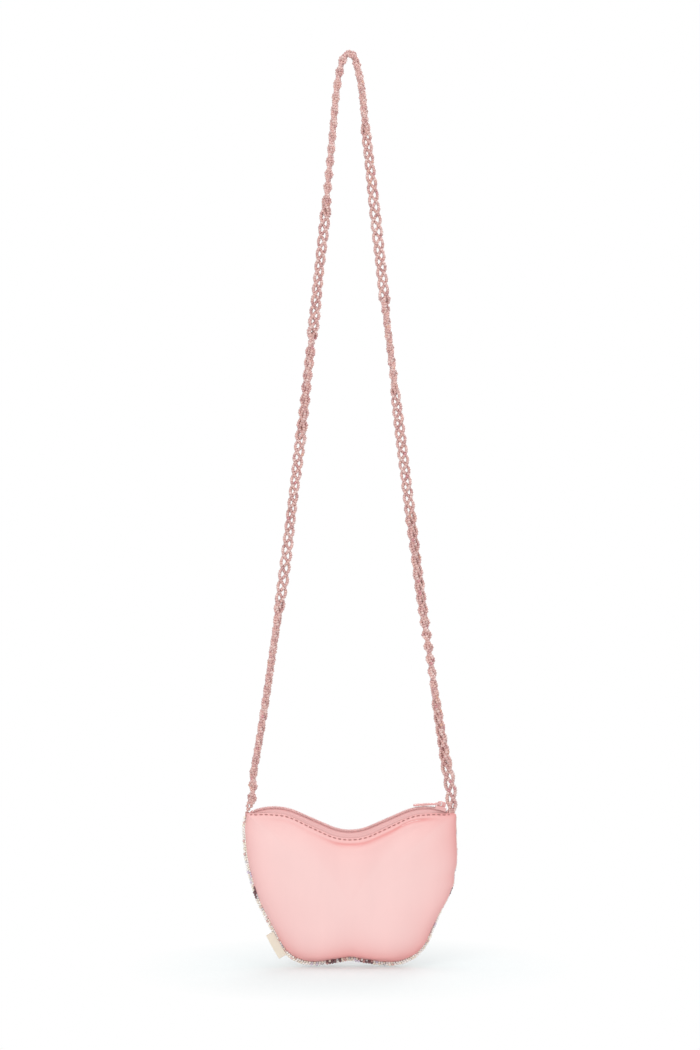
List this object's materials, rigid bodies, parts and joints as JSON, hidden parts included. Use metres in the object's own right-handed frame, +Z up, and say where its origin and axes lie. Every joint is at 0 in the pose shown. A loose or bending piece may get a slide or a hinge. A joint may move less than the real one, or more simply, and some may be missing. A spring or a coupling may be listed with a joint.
{
  "type": "beaded crossbody bag",
  "caption": "Butterfly-shaped zip pouch with a padded satin back and a beaded front, hanging from a long thin strap of plaited bead strings.",
  "frame": {"origin": "point inside the top of the strap's arch that the bag hangs from", "axes": "+Z up along the hanging strap, +X to the right seen from the satin back, +Y from the satin back towards the beaded front"},
  "size_m": [0.1595, 0.0231, 0.6875],
  "materials": {
    "satin": "soft satin sheen",
    "wadding": "matte",
    "lining": "matte",
    "front_cloth": "matte",
    "thread": "matte",
    "zip_cloth": "matte woven",
    "ribbon": "matte",
    "pearl_beads": "pearly",
    "wing_beads": "glossy",
    "body_beads": "glossy",
    "strap_beads": "glossy",
    "zip_nylon": "satin",
    "zip_metal": "semi gloss"
  },
  "bodies": {
    "strap": {"bead_strap": "strap_beads", "strap_eye_left": "thread", "strap_eye_right": "thread"},
    "bag": {"back_panel": "satin", "back_padding": "wadding", "back_lining": "lining", "back_topstitch": "thread", "front_panel": "front_cloth", "front_padding": "wadding", "front_lining": "lining", "front_topstitch": "thread", "side_label": "ribbon", "bead_border": "pearl_beads", "bead_wing_left": "wing_beads", "bead_wing_right": "wing_beads", "bead_body": "body_beads", "zip_tape_back": "zip_cloth", "zip_tape_front": "zip_cloth", "zip_coil_back": "zip_nylon", "zip_coil_front": "zip_nylon", "zip_top_stop_back": "zip_metal", "zip_top_stop_front": "zip_metal", "zip_bottom_stop": "zip_metal", "strap_tack_left": "thread", "strap_tack_right": "thread"},
    "slider": {"zip_slider": "zip_metal", "slider_bail": "zip_metal"},
    "pull": {"zip_pull": "zip_metal"}
  },
  "joints": [
    {"name": "bag_swing", "type": "hinge", "parent": "strap", "child": "bag", "pos_m": [0, 0, -0.567], "axis": [1, 0, 0], "range_deg": [-45, 45]},
    {"name": "zip_run", "type": "hinge", "parent": "bag", "child": "slider", "pos_m": [0.057, 0, -0.6065], "axis": [0, -1, 0], "range_deg": [0, 18]},
    {"name": "pull_flip", "type": "hinge", "parent": "slider", "child": "pull", "pos_m": [0.06781, 0, -0.56062], "axis": [0, 1, 0], "range_deg": [0, 85]}
  ]
}
